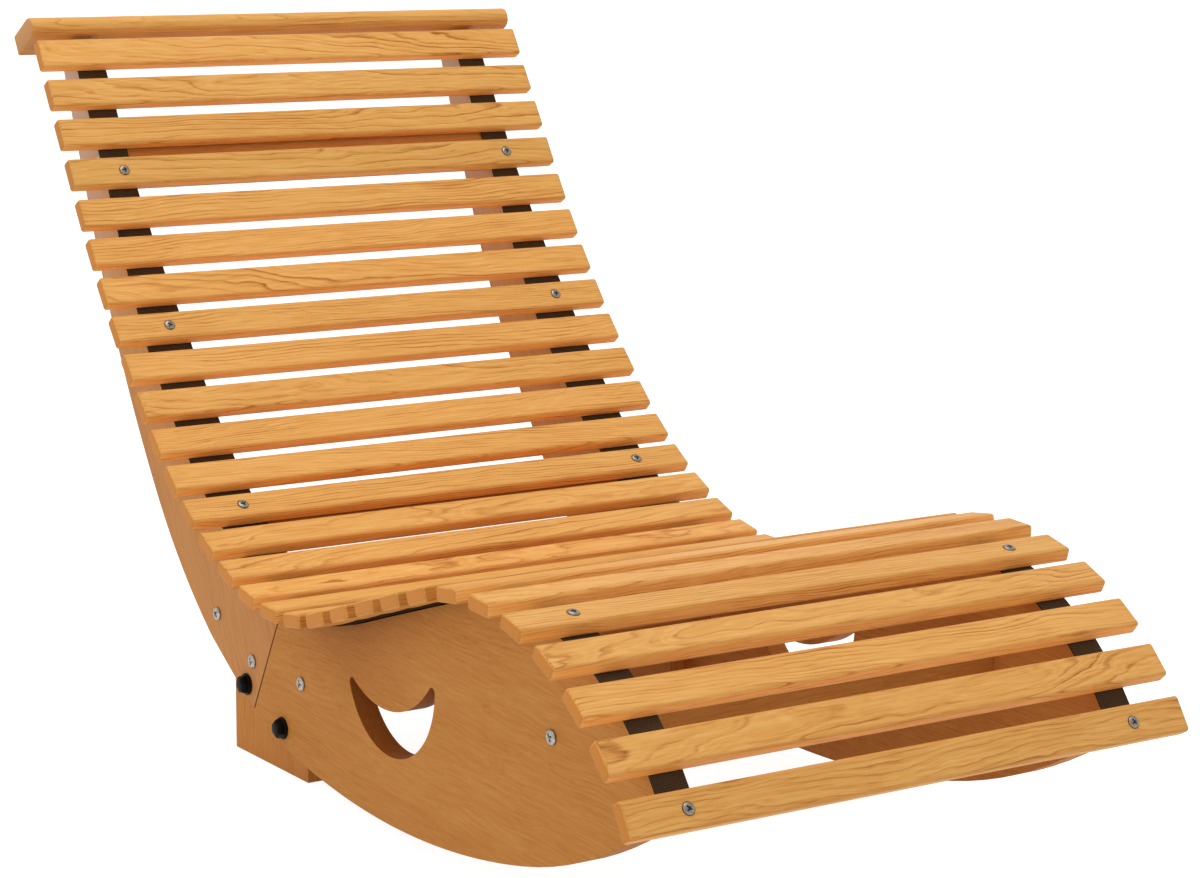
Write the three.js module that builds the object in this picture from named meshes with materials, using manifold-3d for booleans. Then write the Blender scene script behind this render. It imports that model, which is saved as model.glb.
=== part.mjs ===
// Rocking chaise lounge: thirty slats tacked to two webbing straps, on two curved sides.
// Millimetres. +Z is up, +X goes across the seat and -Y points to the foot end.
// The origin lies on the ground under the middle of the whole chaise.
// The chaise stands on the level feet of its two joint plates, as when it is parked.
import * as THREE from "three";
import { mergeVertices } from "three/addons/utils/BufferGeometryUtils.js";
import Module from "manifold-3d";

const wasm = await Module();
wasm.setup();

const degrees = THREE.MathUtils.degToRad;

// Gaps: between pieces that touch, and how far a cutter runs past what it cuts
const clearance = 0.3;
const overrun = 10;

// Slats
const slatLength = 600;
const slatWidth = 33.2;
const slatThickness = 14;
const slatEdgeRadius = 2;
const slatEndBevel = 1.2;

// Seat line, the underside of the slats, as six tangent arcs from the head to the foot.
// A positive turn bends the line up towards the sitter.
const headPitch = 47.4;
const headTurn = degrees(1.2);
const backPitch = 46.4;
const backTurn = degrees(12.8);
const waistPitch = 47.2;
const waistTurn = degrees(22.6);
const hipPitch = 47.2;
const hipTurn = degrees(41);
const thighPitch = 48.4;
const thighTurn = degrees(-0.8);
const kneePitch = 50.5;
const kneeTurn = degrees(-76.1);
const seatRuns = [
  { slats: 4, pitch: headPitch, turn: headTurn },
  { slats: 6, pitch: backPitch, turn: backTurn },
  { slats: 4, pitch: waistPitch, turn: waistTurn },
  { slats: 4, pitch: hipPitch, turn: hipTurn },
  { slats: 4, pitch: thighPitch, turn: thighTurn },
  { slats: 7, pitch: kneePitch, turn: kneeTurn },
];
// The seat line is held where the hip bend ends and the thigh run begins
const runsBeforeThigh = 4;
const thighStartY = -129;
const thighStartZ = 198;
const thighRise = degrees(18.1);
const stepsPerPitch = 3;

// Webbing straps, narrow at both ends and broad under the seat
const strapThickness = 1.4;
const strapEndWidth = 33;
const strapSeatWidth = 50;
const strapWidening = { fromSlat: 4, toSlat: 8 };
const strapNarrowing = { fromSlat: 23, toSlat: 27 };

// Sides
const boardThickness = 23;
const slatOverhang = 49.5;
const backDepthAtHead = 43.7;
const backDepthAtHeel = 142.8;
// Lengths along the seat line, towards the head: from the thigh run to the seam, and from
// the seam to the heel, where the rear edge meets the rocker edge
const thighToSeamLength = 151.4;
const seamToHeelLength = 50;
const seamLean = degrees(27.9);

// Rocker edge: a flat middle arc with a tighter arc at each end
const rockerLowY = -190;
const rockerLowZ = 15;
const rockerRadius = 985;
const rockerRearReach = 170;
const rockerRearRadius = 430;
const rockerRearSweep = degrees(22);
const rockerFrontReach = 217;
const rockerFrontRadius = 550;
const rockerFrontSweep = degrees(30);
const rockerSteps = 12;

// Smiling cut-out in each rocker board: a round hole, less what the round lip above covers,
// with rounded tips
const smileY = -181.1;
const smileZ = 160.3;
const smileRadius = 79.8;
const lipY = -170.3;
const lipZ = 229.8;
const lipRadius = 106.9;
const smileTipRadius = 5;
const smileSteps = 32;
const smileTipSteps = 6;

// Head rail
const headRailThickness = 23.5;
const headRailDepth = 50.5;
const headRailOverhang = 10.5;
const headRailGap = 8.6;
const headRailNoseRadius = 11;
const headRailBackRadius = 2;

// Joint plates inside the seams, each with its level lower edge as a foot
const plateThickness = 19;
const plateTopZ = 102;
const plateRearZ = 88;
const plateSlopeY = 157;
const footFrontY = 21.5;
const footRearY = 175.5;

// Cross rails
const railWidth = 60;
const railThickness = 20;
const railEdgeRadius = 2;
const backRailSlats = { above: 3, below: 4 };
const waistRailSlat = 13;
const seamToRearRailLength = 102.7;
const rearRailDepth = 107.7;
const seatRailY = 40;
const seatRailZ = 111.3;
const seatRailWidth = 127;
const seatRailThickness = 18;
const frontRailY = -452.8;
const frontRailZ = 164.5;

// Bolts with black caps, through the sides and into the joint plates.
// Their ends stay under the wood of the plates, which hides them from the inside.
const rearBoltY = 103.5;
const rearBoltZ = 85.5;
const frontBoltY = 28.5;
const frontBoltZ = 58;
const boltShankRadius = 3;
const capRadius = 11;
const capRimHeight = 3;
const capHeight = 9.5;
const boltEndCover = 4;
const domeSteps = 5;
const boltSides = 20;

// Screws through the slats
const screwedSlats = [4, 8, 13, 26, 30];
const screwHeadRadius = 5.5;
const screwHeadHeight = 2.6;
const screwHeadSink = 1;
const screwHeadRimShare = 0.45;
const screwShankRadius = 2.2;
const screwBite = 20;
const screwTip = 4;
const screwSides = 16;
const driveRadius = 2.3;
const driveDepth = 1.6;
const driveSides = 6;

// Finishes
const slatWood = { color: 0xdd9f55, roughness: 0.5, metalness: 0 };
const sideWood = { color: 0xb67a40, roughness: 0.55, metalness: 0 };
const webbing = { color: 0x241c17, roughness: 0.85, metalness: 0 };
const blackCap = { color: 0x1f1b19, roughness: 0.35, metalness: 0 };
const steel = { color: 0xc3c5c8, roughness: 0.3, metalness: 1 };

// Booleans on closed geometries

function solidOf(geometry) {
  const bare = geometry.clone();
  bare.deleteAttribute("normal");
  bare.deleteAttribute("uv");
  const merged = mergeVertices(bare);
  const vertProperties = merged.attributes.position.array;
  const triVerts = new Uint32Array(merged.index.array);
  return new wasm.Manifold(new wasm.Mesh({ numProp: 3, vertProperties, triVerts }));
}

function geometryOf(solid) {
  const { vertProperties, triVerts } = solid.getMesh();
  const indexed = new THREE.BufferGeometry();
  indexed.setAttribute("position", new THREE.BufferAttribute(vertProperties, 3));
  indexed.setIndex(new THREE.BufferAttribute(triVerts, 1));
  const geometry = indexed.toNonIndexed();
  geometry.computeVertexNormals();
  return geometry;
}

function cut(geometry, cutters) {
  const start = solidOf(geometry);
  return geometryOf(cutters.reduce((left, cutter) => left.subtract(solidOf(cutter)), start));
}

function common(geometry, other) {
  return geometryOf(solidOf(geometry).intersect(solidOf(other)));
}

// The scene graph

const chaise = new THREE.Group();

function addPiece(name, geometry, finish, parent = chaise) {
  const mesh = new THREE.Mesh(geometry, new THREE.MeshStandardMaterial(finish));
  mesh.name = name;
  parent.add(mesh);
  return mesh;
}

// Curves in the side view. A point holds y, z and the heading, measured up from -Y.

function walkArc(from, length, bend) {
  if (bend === 0) {
    return {
      y: from.y - length * Math.cos(from.heading),
      z: from.z + length * Math.sin(from.heading),
      heading: from.heading,
    };
  }
  const heading = from.heading + length * bend;
  return {
    y: from.y - (Math.sin(heading) - Math.sin(from.heading)) / bend,
    z: from.z - (Math.cos(heading) - Math.cos(from.heading)) / bend,
    heading,
  };
}

// The arcs of the seat line, each with its start, and the run of every slat along the line
function laySeatLine() {
  const turnBeforeThigh = seatRuns
    .slice(0, runsBeforeThigh)
    .reduce((sum, { turn }) => sum + turn, 0);
  const arcs = [];
  const slatRuns = [0];
  let start = { y: 0, z: 0, heading: thighRise - turnBeforeThigh };
  let run = 0;
  for (const { slats, pitch, turn } of seatRuns) {
    const length = slats * pitch;
    arcs.push({ run, start, bend: turn / length });
    start = walkArc(start, length, turn / length);
    run += length;
    for (let n = 1; n <= slats; n++) slatRuns.push(run - length + n * pitch);
  }
  const held = arcs[runsBeforeThigh].start;
  const shiftY = thighStartY - held.y;
  const shiftZ = thighStartZ - held.z;
  for (const arc of arcs) {
    arc.start = { ...arc.start, y: arc.start.y + shiftY, z: arc.start.z + shiftZ };
  }
  return { arcs, slatRuns };
}

const { arcs: seatArcs, slatRuns } = laySeatLine();
const lastSlatRun = slatRuns[slatRuns.length - 1];
const runOfSlat = (number) => slatRuns[number - 1];
const seamRun = seatArcs[runsBeforeThigh].run - thighToSeamLength;
const heelRun = seamRun - seamToHeelLength;
const rearRailRun = seamRun - seamToRearRailLength;

function seatPoint(run) {
  const arc = seatArcs.findLast((a) => a.run <= run) ?? seatArcs[0];
  return walkArc(arc.start, run - arc.run, arc.bend);
}

// A point of the side view at a depth square below the seat line
function belowSeat(run, depth) {
  const { y, z, heading } = seatPoint(run);
  return new THREE.Vector2(y - depth * Math.sin(heading), z - depth * Math.cos(heading));
}

// Points at one depth, or at a depth that changes with the run
function seatCurve(fromRun, toRun, depthAt) {
  const step = hipPitch / stepsPerPitch;
  const count = Math.ceil((toRun - fromRun) / step);
  const points = [];
  for (let n = 0; n <= count; n++) {
    const run = fromRun + ((toRun - fromRun) * n) / count;
    points.push(belowSeat(run, depthAt(run)));
  }
  return points;
}

// An outline of the side view, extruded across the seat and centred there
function acrossSeat(points, width, bevel = 0, bevelSegments = 0) {
  const geometry = new THREE.ExtrudeGeometry(new THREE.Shape(points), {
    depth: width - 2 * bevel,
    bevelEnabled: bevel > 0,
    bevelSize: bevel,
    bevelThickness: bevel,
    bevelOffset: -bevel,
    bevelSegments,
  });
  geometry.translate(0, 0, bevel - width / 2);
  const toSide = new THREE.Matrix4().makeBasis(
    new THREE.Vector3(0, 1, 0),
    new THREE.Vector3(0, 0, 1),
    new THREE.Vector3(1, 0, 0),
  );
  return geometry.applyMatrix4(toSide);
}

// A rectangle from its two opposite corners, with one radius at its -Y corners and one at +Y
function roundedSection(minY, minZ, maxY, maxZ, frontRadius, rearRadius, steps = 2) {
  const quarter = Math.PI / 2;
  const corners = [
    { y: maxY - rearRadius, z: minZ + rearRadius, radius: rearRadius, from: -quarter },
    { y: maxY - rearRadius, z: maxZ - rearRadius, radius: rearRadius, from: 0 },
    { y: minY + frontRadius, z: maxZ - frontRadius, radius: frontRadius, from: quarter },
    { y: minY + frontRadius, z: minZ + frontRadius, radius: frontRadius, from: 2 * quarter },
  ];
  return corners.flatMap(({ y, z, radius, from }) =>
    Array.from({ length: steps + 1 }, (_, n) => {
      const angle = from + (quarter * n) / steps;
      return new THREE.Vector2(y + radius * Math.cos(angle), z + radius * Math.sin(angle));
    }),
  );
}

// A rounded bar whose middle lies at y, z and whose width points along the heading
function placedBar(name, length, section, point) {
  const holder = new THREE.Group();
  holder.position.set(0, point.y, point.z);
  holder.rotation.x = -point.heading;
  chaise.add(holder);
  const { width, thickness } = section;
  const outline = roundedSection(
    -width / 2,
    -thickness / 2,
    width / 2,
    thickness / 2,
    railEdgeRadius,
    railEdgeRadius,
  );
  return addPiece(name, acrossSeat(outline, length), sideWood, holder);
}

// Fasteners, turned about +Z with the bearing face of the head at height 0

function latheAboutZ(points, sides) {
  const geometry = new THREE.LatheGeometry(points, sides);
  return geometry.applyMatrix4(new THREE.Matrix4().makeRotationX(Math.PI / 2));
}

// Points of a rounded dome from its rim, at the given height, to its top on the axis
function dome(radius, rimZ, topZ) {
  return Array.from({ length: domeSteps + 1 }, (_, n) => {
    const angle = (Math.PI / 2) * (n / domeSteps);
    const r = n === domeSteps ? 0 : radius * Math.cos(angle);
    return new THREE.Vector2(r, rimZ + (topZ - rimZ) * Math.sin(angle));
  });
}

function boltHole(radius, length) {
  const geometry = new THREE.CylinderGeometry(radius, radius, length, boltSides);
  return geometry.applyMatrix4(new THREE.Matrix4().makeRotationX(Math.PI / 2));
}

// The screw stands on the floor of its sink, so its neck starts that deep in the slat
function slatScrewGeometry() {
  const rimZ = screwHeadHeight * screwHeadRimShare;
  const endZ = -(slatThickness - screwHeadSink + strapThickness + screwBite);
  const profile = [
    new THREE.Vector2(0, endZ),
    new THREE.Vector2(screwShankRadius, endZ + screwTip),
    new THREE.Vector2(screwShankRadius, 0),
    new THREE.Vector2(screwHeadRadius, 0),
    ...dome(screwHeadRadius, rimZ, screwHeadHeight),
  ];
  const drive = new THREE.CylinderGeometry(driveRadius, driveRadius, 2 * driveDepth, driveSides);
  drive.applyMatrix4(new THREE.Matrix4().makeRotationX(Math.PI / 2));
  drive.translate(0, 0, screwHeadHeight);
  return cut(latheAboutZ(profile, screwSides), [drive]);
}

// The depths of the layers under the slats: strap, then board. A slat is flat, so the strap
// lies lower by as much as the tightest hollow bend of the seat line rises under its edges.
const tightestBend = Math.max(...seatArcs.map(({ bend }) => bend));
const strapTop = clearance + (tightestBend * slatWidth ** 2) / 8;
const strapBottom = strapTop + strapThickness;
const boardTop = strapBottom + clearance;

// Where the boards end under the head rail, and where the rail begins above the first slat
const headRailRun = -(slatWidth / 2 + headRailGap);
const boardHeadRun = headRailRun + clearance;

const sides = [
  { side: "left", sign: -1 },
  { side: "right", sign: 1 },
];
const boardSpacing = slatLength - 2 * slatOverhang - boardThickness;
const boardX = boardSpacing / 2;

// Slats

function slatGeometry(drilled) {
  const outline = roundedSection(
    -slatWidth / 2,
    0,
    slatWidth / 2,
    slatThickness,
    slatEdgeRadius,
    slatEdgeRadius,
  );
  const blank = acrossSeat(outline, slatLength, slatEndBevel, 1);
  if (!drilled) return blank;
  const cutters = sides.flatMap(({ sign }) => {
    const hole = boltHole(screwShankRadius + clearance, 2 * (slatThickness + overrun));
    const sink = boltHole(screwHeadRadius + clearance, 2 * screwHeadSink);
    hole.translate(sign * boardX, 0, 0);
    sink.translate(sign * boardX, 0, slatThickness);
    return [hole, sink];
  });
  return cut(blank, cutters);
}

const plainSlat = slatGeometry(false);
const drilledSlat = slatGeometry(true);
const slatScrew = slatScrewGeometry();
const screwSeat = slatThickness - screwHeadSink + clearance;

slatRuns.forEach((run, index) => {
  const number = index + 1;
  const label = String(number).padStart(2, "0");
  const { y, z, heading } = seatPoint(run);
  const holder = new THREE.Group();
  holder.position.set(0, y, z);
  holder.rotation.x = -heading;
  chaise.add(holder);
  const drilled = screwedSlats.includes(number);
  addPiece(`slat_${label}`, drilled ? drilledSlat : plainSlat, slatWood, holder);
  if (!drilled) return;
  for (const { side, sign } of sides) {
    const screw = addPiece(`slat_screw_${label}_${side}`, slatScrew, steel, holder);
    screw.position.set(sign * boardX, 0, screwSeat);
  }
});

// Holes that the slat screws need below the slats, in one cutter for each screw
function screwHoles(sign) {
  return screwedSlats.map((number) => {
    const { y, z, heading } = seatPoint(runOfSlat(number));
    const depth = strapThickness + screwBite + overrun;
    const hole = boltHole(screwShankRadius + clearance, 2 * depth);
    hole.applyMatrix4(new THREE.Matrix4().makeRotationX(-heading));
    return hole.translate(sign * boardX, y, z);
  });
}

// Webbing straps

function strapPlan() {
  const halfEnd = strapEndWidth / 2;
  const halfSeat = strapSeatWidth / 2;
  const yOf = (number) => seatPoint(runOfSlat(number)).y;
  const far = slatLength + boardSpacing;
  const edge = [
    [halfEnd, far],
    [halfEnd, yOf(strapWidening.fromSlat)],
    [halfSeat, yOf(strapWidening.toSlat)],
    [halfSeat, yOf(strapNarrowing.fromSlat)],
    [halfEnd, yOf(strapNarrowing.toSlat)],
    [halfEnd, -far],
  ];
  const mirrored = edge.map(([x, y]) => [-x, y]).reverse();
  const outline = [...edge, ...mirrored].map(([x, y]) => new THREE.Vector2(x, y));
  const geometry = new THREE.ExtrudeGeometry(new THREE.Shape(outline), {
    depth: 2 * far,
    bevelEnabled: false,
  });
  return geometry.translate(0, 0, -far);
}

const strapFootRun = lastSlatRun + slatWidth / 2 - slatEdgeRadius;
const strapOutline = [
  ...seatCurve(boardHeadRun, strapFootRun, () => strapTop),
  ...seatCurve(boardHeadRun, strapFootRun, () => strapBottom).reverse(),
];
const strapBlank = common(acrossSeat(strapOutline, strapSeatWidth), strapPlan());

for (const { side, sign } of sides) {
  const strap = strapBlank.clone().translate(sign * boardX, 0, 0);
  addPiece(`slat_strap_${side}`, cut(strap, screwHoles(sign)), webbing);
}

// Rocker edge

const rockerLow = new THREE.Vector2(rockerLowY, rockerLowZ);

// One half of the rocker edge, from its lowest point to the rear (sign 1) or the front (-1).
// Past the end arc it goes on straight, well beyond the sides.
function rockerHalf(sign, reach, endRadius, endSweep) {
  const midSweep = Math.asin(reach / rockerRadius);
  const arcPoints = (radius, start, from, to) => {
    const centreY = start.x - sign * radius * Math.sin(from);
    const centreZ = start.y + radius * Math.cos(from);
    return Array.from({ length: rockerSteps }, (_, n) => {
      const angle = from + ((to - from) * (n + 1)) / rockerSteps;
      return new THREE.Vector2(
        centreY + sign * radius * Math.sin(angle),
        centreZ - radius * Math.cos(angle),
      );
    });
  };
  const middle = arcPoints(rockerRadius, rockerLow, 0, midSweep);
  const lastSlope = midSweep + endSweep;
  const end = arcPoints(endRadius, middle[middle.length - 1], midSweep, lastSlope);
  const along = new THREE.Vector2(sign * Math.cos(lastSlope), Math.sin(lastSlope));
  const beyond = end[end.length - 1].clone().addScaledVector(along, rockerRadius);
  return [...middle, ...end, beyond];
}

// Everything above the rocker edge, wider, longer and higher than the sides
function aboveRocker() {
  const front = rockerHalf(-1, rockerFrontReach, rockerFrontRadius, rockerFrontSweep);
  const rear = rockerHalf(1, rockerRearReach, rockerRearRadius, rockerRearSweep);
  const top = 2 * rockerRadius;
  const outline = [
    new THREE.Vector2(front[front.length - 1].x, top),
    ...front.reverse(),
    rockerLow,
    ...rear,
    new THREE.Vector2(rear[rear.length - 1].x, top),
  ];
  return acrossSeat(outline, boardThickness + 2 * overrun);
}

// One whole side before it is parted at the seam
function wholeSide() {
  const slope = (backDepthAtHeel - backDepthAtHead) / heelRun;
  const depthAt = (run) => backDepthAtHead + slope * run;
  const toeRun = lastSlatRun + 2 * slatWidth;
  const seatEdge = seatCurve(boardHeadRun, toeRun, () => boardTop);
  const rearEdge = seatCurve(boardHeadRun, heelRun + 2 * slatWidth, depthAt);
  const toe = seatEdge[seatEdge.length - 1];
  const heel = rearEdge[rearEdge.length - 1];
  const outline = [
    ...seatEdge,
    new THREE.Vector2(toe.x, -overrun),
    new THREE.Vector2(heel.x, -overrun),
    ...rearEdge.reverse(),
  ];
  return common(acrossSeat(outline, boardThickness), aboveRocker());
}

// A block that covers the side on one of the two faces of the seam, sign 1 for the rear
function seamCutter(sign) {
  const reach = 2 * rockerRadius;
  const block = new THREE.BoxGeometry(boardThickness + 2 * overrun, reach, reach);
  block.translate(0, (sign * (reach - clearance)) / 2, 0);
  block.applyMatrix4(new THREE.Matrix4().makeRotationX(seamLean));
  const top = belowSeat(seamRun, 0);
  return block.translate(0, top.x, top.y);
}

// Cut-out

// Points of an arc about a middle, from one angle to another
function arcAbout(middle, radius, from, to, steps) {
  return Array.from({ length: steps + 1 }, (_, n) => {
    const angle = from + ((to - from) * n) / steps;
    const reach = new THREE.Vector2(Math.cos(angle), Math.sin(angle));
    return middle.clone().addScaledVector(reach, radius);
  });
}

// The lower edge from the front tip to the rear tip, then the lip back to the front.
// A small arc rounds each tip, and touches both edges.
function smileOutline() {
  const hole = new THREE.Vector2(smileY, smileZ);
  const lip = new THREE.Vector2(lipY, lipZ);
  const apart = lip.distanceTo(hole);
  const toHole = smileRadius - smileTipRadius;
  const toLip = lipRadius + smileTipRadius;
  const up = lip.clone().sub(hole).normalize();
  const towardFront = new THREE.Vector2(-up.y, up.x);
  const rise = (toHole ** 2 - toLip ** 2 + apart ** 2) / (2 * apart);
  const aside = Math.sqrt(toHole ** 2 - rise ** 2);
  const middle = hole.clone().addScaledVector(up, rise);
  const front = middle.clone().addScaledVector(towardFront, aside);
  const rear = middle.clone().addScaledVector(towardFront, -aside);
  const heading = (from, to) => to.clone().sub(from).angle();
  const turn = 2 * Math.PI;
  const frontEnd = heading(hole, front);
  const rearEnd = heading(hole, rear);
  return [
    ...arcAbout(hole, smileRadius, frontEnd, rearEnd, smileSteps),
    ...arcAbout(rear, smileTipRadius, rearEnd, heading(rear, lip) + turn, smileTipSteps).slice(1),
    ...arcAbout(lip, lipRadius, heading(lip, rear), heading(lip, front), smileSteps).slice(1),
    ...arcAbout(front, smileTipRadius, heading(front, lip), frontEnd, smileTipSteps).slice(1, -1),
  ];
}

const smileCutter = acrossSeat(smileOutline(), boardThickness + 2 * overrun);

// Bolts

const bolts = [
  { place: "rear", y: rearBoltY, z: rearBoltZ },
  { place: "front", y: frontBoltY, z: frontBoltZ },
];

// Turns a fastener from +Z to point out of the side with this sign
function pointOutward(geometry, sign) {
  return geometry.applyMatrix4(new THREE.Matrix4().makeRotationY((sign * Math.PI) / 2));
}

// Bolt holes across the seat, with their middle at this x
function boltCutters(x, length) {
  return bolts.map(({ y, z }) => {
    const hole = pointOutward(boltHole(boltShankRadius + clearance, length), 1);
    return hole.translate(x, y, z);
  });
}

function capBoltGeometry() {
  const reach = boardThickness + plateThickness + clearance - boltEndCover;
  const cap = dome(capRadius, capRimHeight, capHeight);
  return latheAboutZ(
    [
      new THREE.Vector2(0, -reach),
      new THREE.Vector2(boltShankRadius, -reach),
      new THREE.Vector2(boltShankRadius, 0),
      new THREE.Vector2(capRadius, 0),
      ...cap,
    ],
    boltSides,
  );
}

// Side boards

const sideBlank = cut(wholeSide(), boltCutters(0, boardThickness + 2 * overrun));
const backBlank = cut(sideBlank, [seamCutter(-1)]);
const rockerBlank = cut(sideBlank, [seamCutter(1), smileCutter]);

for (const { side, sign } of sides) {
  const back = backBlank.clone().translate(sign * boardX, 0, 0);
  const rocker = rockerBlank.clone().translate(sign * boardX, 0, 0);
  addPiece(`back_board_${side}`, cut(back, screwHoles(sign)), sideWood);
  addPiece(`rocker_board_${side}`, cut(rocker, screwHoles(sign)), sideWood);
}

// Joint plates

// The bolt holes stay closed at the inner face, which lies at -x for sign 1
function plateGeometry(sign) {
  const outline = [
    [footFrontY, 0],
    [footRearY, 0],
    [footRearY, plateRearZ],
    [plateSlopeY, plateTopZ],
    [footFrontY, plateTopZ],
  ].map(([y, z]) => new THREE.Vector2(y, z));
  const holes = boltCutters(sign * (plateThickness / 2 + boltEndCover), 2 * plateThickness);
  return cut(acrossSeat(outline, plateThickness), holes);
}

const plateX = boardX - boardThickness / 2 - clearance - plateThickness / 2;
for (const { side, sign } of sides) {
  const plate = plateGeometry(sign).translate(sign * plateX, 0, 0);
  addPiece(`joint_plate_${side}`, plate, sideWood);
}

// Capped bolts, which bear on the outer face of the boards

const capBolt = capBoltGeometry();
const boltX = boardX + boardThickness / 2 + clearance;
for (const { side, sign } of sides) {
  for (const { place, y, z } of bolts) {
    const bolt = pointOutward(capBolt.clone(), sign);
    addPiece(`cap_bolt_${place}_${side}`, bolt, blackCap).position.set(sign * boltX, y, z);
  }
}

// Cross rails

const railLength = boardSpacing - boardThickness - 2 * clearance;
const railSection = { width: railWidth, thickness: railThickness };

function middleOfRail(run, depth) {
  const { x, y } = belowSeat(run, depth);
  return { y: x, z: y, heading: seatPoint(run).heading };
}

const backRailRun = (runOfSlat(backRailSlats.above) + runOfSlat(backRailSlats.below)) / 2;
const underSeatDepth = boardTop + railThickness / 2;
const waistRailRun = runOfSlat(waistRailSlat);
placedBar("back_rail", railLength, railSection, middleOfRail(backRailRun, underSeatDepth));
placedBar("waist_rail", railLength, railSection, middleOfRail(waistRailRun, underSeatDepth));
placedBar("rear_rail", railLength, railSection, middleOfRail(rearRailRun, rearRailDepth));
placedBar(
  "seat_rail",
  railLength,
  { width: seatRailWidth, thickness: seatRailThickness },
  { y: seatRailY, z: seatRailZ, heading: 0 },
);
placedBar("front_rail", railLength, railSection, {
  y: frontRailY,
  z: frontRailZ,
  heading: Math.PI / 2,
});

// Head rail, square across the top ends of the boards

function headRail() {
  const { y, z, heading } = seatPoint(headRailRun);
  const holder = new THREE.Group();
  holder.position.set(0, y, z);
  holder.rotation.x = -heading - Math.PI / 2;
  chaise.add(holder);
  const outline = roundedSection(
    -headRailOverhang,
    0,
    headRailDepth - headRailOverhang,
    headRailThickness,
    headRailNoseRadius,
    headRailBackRadius,
    3,
  );
  addPiece("head_rail", acrossSeat(outline, slatLength, slatEndBevel / 2, 1), slatWood, holder);
}

headRail();

// The origin moves to the ground under the middle of the chaise
chaise.updateMatrixWorld(true);
const bounds = new THREE.Box3().setFromObject(chaise, true);
const shift = (bounds.min.y + bounds.max.y) / 2;
for (const piece of chaise.children) piece.position.y -= shift;
for (const piece of chaise.children) piece.position.z -= bounds.min.z;

export default chaise;
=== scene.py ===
import contextlib
import math
import random

import bmesh
import bpy
import numpy as np
from mathutils import Matrix, Vector


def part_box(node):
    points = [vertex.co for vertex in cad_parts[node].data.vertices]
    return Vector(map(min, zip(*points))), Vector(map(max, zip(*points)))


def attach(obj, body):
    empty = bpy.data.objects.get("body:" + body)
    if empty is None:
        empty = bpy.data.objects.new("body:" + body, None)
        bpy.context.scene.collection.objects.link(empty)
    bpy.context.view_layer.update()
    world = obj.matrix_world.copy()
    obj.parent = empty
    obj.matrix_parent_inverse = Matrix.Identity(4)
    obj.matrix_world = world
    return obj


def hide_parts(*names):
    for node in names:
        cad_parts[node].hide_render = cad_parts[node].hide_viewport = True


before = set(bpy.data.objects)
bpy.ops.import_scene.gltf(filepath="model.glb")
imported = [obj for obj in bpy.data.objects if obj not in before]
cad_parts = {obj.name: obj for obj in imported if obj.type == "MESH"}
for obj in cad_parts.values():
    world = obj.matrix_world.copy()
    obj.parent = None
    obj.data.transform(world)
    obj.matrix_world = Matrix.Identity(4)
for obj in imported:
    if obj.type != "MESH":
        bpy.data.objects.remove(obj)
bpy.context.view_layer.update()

MM = 0.001
X, Y, Z = Vector((1, 0, 0)), Vector((0, 1, 0)), Vector((0, 0, 1))
SIDES = (("left", -1), ("right", 1))
SCREWED_SLATS = (4, 8, 13, 26, 30)
SLAT_COUNT = 30
SLAT_LENGTH, SLAT_WIDTH, SLAT_THICKNESS = 600 * MM, 33.2 * MM, 14 * MM
SLAT_CORNER, SLAT_END_RADIUS = 3.3 * MM, 2.6 * MM
BOARD_X, BOARD_OUTER_X = 239 * MM, 250.5 * MM
SEAM_Y, SEAM_Z, SEAM_LEAN = 71.0 * MM, 193.7 * MM, math.radians(27.9)
# The corners, in the side view, of a box round the smiling cut-out
SMILE_LOW, SMILE_HIGH = (-225 * MM, 75 * MM), (-40 * MM, 175 * MM)

rng = random.Random(7)


# Shader nodes

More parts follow.
